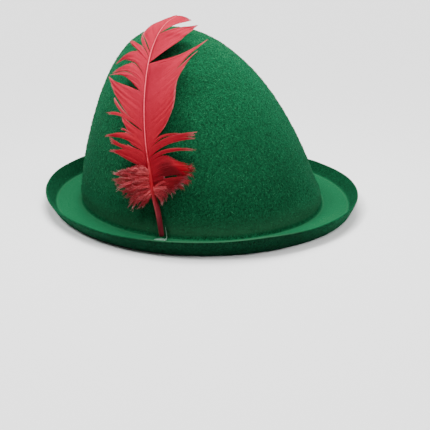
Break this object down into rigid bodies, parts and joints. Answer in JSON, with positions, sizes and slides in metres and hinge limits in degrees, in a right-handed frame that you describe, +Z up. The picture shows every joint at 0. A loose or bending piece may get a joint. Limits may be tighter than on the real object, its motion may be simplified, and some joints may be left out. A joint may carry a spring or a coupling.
{
  "type": "felt costume hat with feather",
  "caption": "Egg-shaped moulded felt hat, open below for the head, with a flat brim, a turned-up rim and a feather glued to one side.",
  "frame": {"origin": "middle of the hat's outline, on the surface that the brim's underside rests on", "axes": "+Z up through the crown, -Y to the hat's front, -X to its right side, where the feather is"},
  "size_m": [0.2314, 0.2626, 0.1442],
  "materials": {
    "felt": "moulded green felt, matt, with short loose fibres",
    "quill": "red-dyed horn of a feather's shaft, satin",
    "vane": "red-dyed feather barbs, soft sheen along the barbs",
    "down": "red-dyed fluffy down",
    "glue": "cloudy clear hot glue, smooth"
  },
  "bodies": {
    "root": {"felt_body": "felt", "feather_shaft": "quill", "feather_vane_front": "vane", "feather_vane_back": "vane", "feather_down_front": "down", "feather_down_back": "down", "glue_dab": "glue"}
  },
  "joints": []
}
